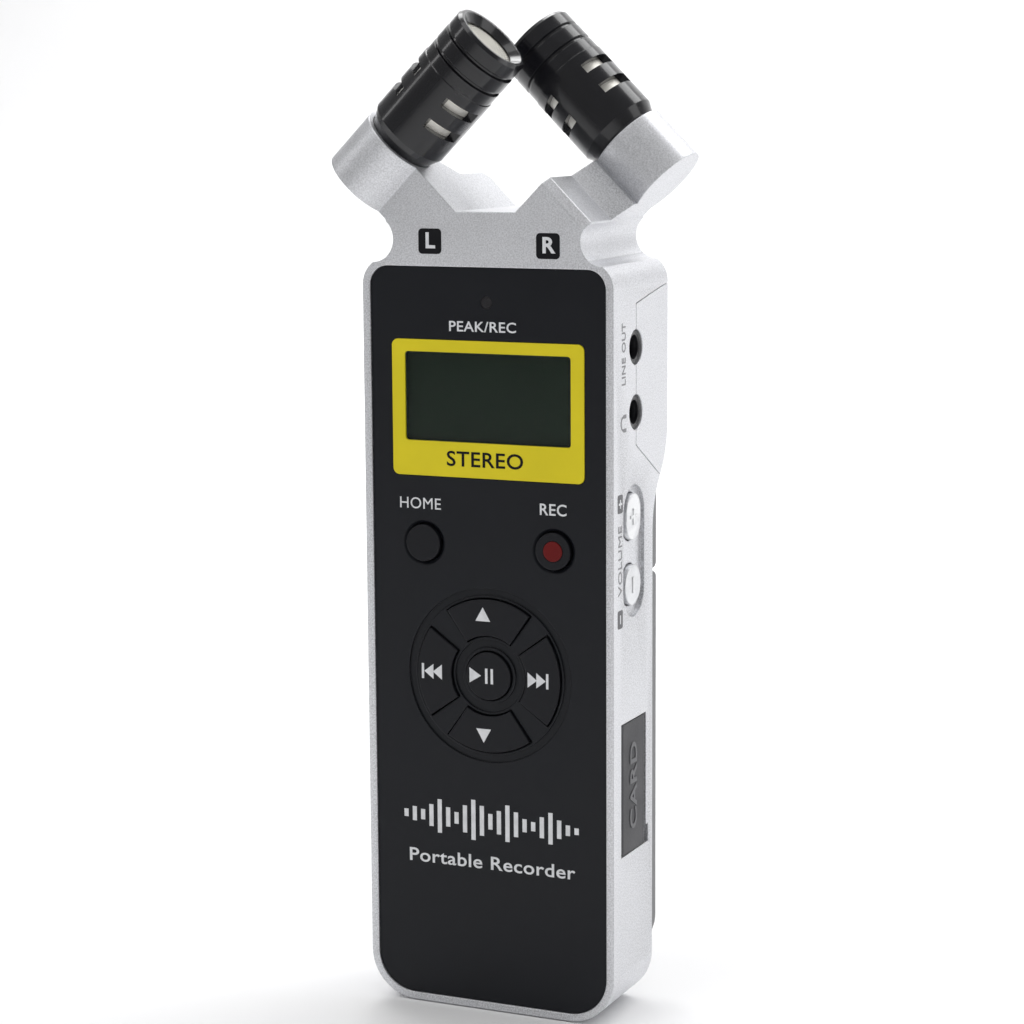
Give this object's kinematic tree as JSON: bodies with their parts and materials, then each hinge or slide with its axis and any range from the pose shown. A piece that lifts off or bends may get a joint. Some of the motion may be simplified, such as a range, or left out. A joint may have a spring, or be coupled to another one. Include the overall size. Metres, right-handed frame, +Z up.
{
  "type": "portable field recorder",
  "caption": "Handheld audio recorder with a crossed pair of microphones on a silver yoke, a framed display, a round key pad, side jacks and a rear battery door.",
  "frame": {"origin": "middle of the footprint, on the plane that the foot stands on", "axes": "+Z up the casing to the microphones, -Y out of the display, +X to the side of the jacks and the card door"},
  "size_m": [0.0508, 0.0278, 0.149],
  "materials": {
    "silver_casing": "bead-blasted satin",
    "rear_grey": "fine matte texture",
    "panel_black": "satin black",
    "bezel_yellow": "satin yellow paint",
    "clear_lens": "clear, glossy",
    "lcd_green": "dark grey-green, switched off",
    "white_plastic": "plain moulded",
    "smoked_lens": "smoked, glossy",
    "key_black": "semi-matte black",
    "red_lens": "dark red",
    "steel": "plain",
    "board_green": "solder mask",
    "chip_black": "moulded",
    "can_aluminium": "plain",
    "switch_black": "moulded",
    "button_silver": "satin silver",
    "jack_black": "moulded",
    "door_grey": "fine matte texture",
    "cell_wrap": "printed film",
    "brass": "turned",
    "cone_black": "doped paper",
    "barrel_black": "gloss black anodised",
    "mesh": "woven mesh",
    "rubber_black": "matte"
  },
  "bodies": {
    "recorder": {"housing": "silver_casing", "rear_shell": "silver_casing", "rear_chassis": "rear_grey", "front_panel": "panel_black", "display_bezel": "bezel_yellow", "display_lens": "clear_lens", "lcd_glass": "lcd_green", "lcd_backlight": "white_plastic", "peak_window": "smoked_lens", "peak_led": "white_plastic", "snap_domes": "steel", "main_board": "board_green", "board_chips": "chip_black", "board_capacitors": "can_aluminium", "crystal": "steel", "board_screws": "steel", "case_screws": "steel", "side_switches": "switch_black", "power_switch": "steel", "line_out_jack": "jack_black", "headphone_jack": "jack_black", "mic_in_jack": "jack_black", "card_door_pin": "steel", "card_slot": "steel", "memory_card": "switch_black", "data_port": "steel", "battery_left": "cell_wrap", "battery_right": "cell_wrap", "battery_springs": "steel", "battery_contacts": "steel", "tripod_insert": "brass", "speaker_frame": "switch_black", "speaker_cone": "cone_black", "foot_pads": "rubber_black", "mic_left_barrel": "barrel_black", "mic_right_barrel": "barrel_black", "mic_left_grille": "mesh", "mic_right_grille": "mesh", "mic_left_capsule": "can_aluminium", "mic_right_capsule": "can_aluminium", "mic_left_screen": "mesh", "mic_right_screen": "mesh", "mic_left_cable": "rubber_black", "mic_right_cable": "rubber_black"},
    "home_button": {"home_button": "key_black"},
    "record_button": {"record_button": "key_black", "record_dot": "red_lens"},
    "key_up": {"key_up": "key_black"},
    "key_down": {"key_down": "key_black"},
    "key_previous": {"key_previous": "key_black"},
    "key_next": {"key_next": "key_black"},
    "play_button": {"play_button": "key_black"},
    "volume_up_button": {"volume_up_button": "button_silver"},
    "volume_down_button": {"volume_down_button": "button_silver"},
    "gain_up_button": {"gain_up_button": "button_silver"},
    "gain_down_button": {"gain_down_button": "button_silver"},
    "power_knob": {"power_knob": "button_silver"},
    "card_door": {"card_door": "door_grey"},
    "battery_door": {"battery_door": "rear_grey"}
  },
  "joints": [
    {"name": "home_press", "type": "slide", "parent": "recorder", "child": "home_button", "axis": [0, 1, 0], "range_m": [0, 0.0005], "stiffness_N_per_m": 500},
    {"name": "record_press", "type": "slide", "parent": "recorder", "child": "record_button", "axis": [0, 1, 0], "range_m": [0, 0.0005], "stiffness_N_per_m": 500},
    {"name": "key_up_press", "type": "slide", "parent": "recorder", "child": "key_up", "axis": [0, 1, 0], "range_m": [0, 0.0005], "stiffness_N_per_m": 500},
    {"name": "key_down_press", "type": "slide", "parent": "recorder", "child": "key_down", "axis": [0, 1, 0], "range_m": [0, 0.0005], "stiffness_N_per_m": 500},
    {"name": "key_previous_press", "type": "slide", "parent": "recorder", "child": "key_previous", "axis": [0, 1, 0], "range_m": [0, 0.0005], "stiffness_N_per_m": 500},
    {"name": "key_next_press", "type": "slide", "parent": "recorder", "child": "key_next", "axis": [0, 1, 0], "range_m": [0, 0.0005], "stiffness_N_per_m": 500},
    {"name": "play_press", "type": "slide", "parent": "recorder", "child": "play_button", "axis": [0, 1, 0], "range_m": [0, 0.0005], "stiffness_N_per_m": 500},
    {"name": "volume_up_press", "type": "slide", "parent": "recorder", "child": "volume_up_button", "axis": [-1, 0, 0], "range_m": [0, 0.0004], "stiffness_N_per_m": 500},
    {"name": "volume_down_press", "type": "slide", "parent": "recorder", "child": "volume_down_button", "axis": [-1, 0, 0], "range_m": [0, 0.0004], "stiffness_N_per_m": 500},
    {"name": "gain_up_press", "type": "slide", "parent": "recorder", "child": "gain_up_button", "axis": [1, 0, 0], "range_m": [0, 0.0004], "stiffness_N_per_m": 500},
    {"name": "gain_down_press", "type": "slide", "parent": "recorder", "child": "gain_down_button", "axis": [1, 0, 0], "range_m": [0, 0.0004], "stiffness_N_per_m": 500},
    {"name": "power_slide", "type": "slide", "parent": "recorder", "child": "power_knob", "axis": [0, 0, 1], "range_m": [-0.002, 0.002]},
    {"name": "card_door_hinge", "type": "hinge", "parent": "recorder", "child": "card_door", "pos_m": [0.0191, -0.0067, 0.0353], "axis": [0, 0, -1], "range_deg": [0, 90]},
    {"name": "battery_door_slide", "type": "slide", "parent": "recorder", "child": "battery_door", "axis": [0, 0, -1], "range_m": [0, 0.004]}
  ]
}
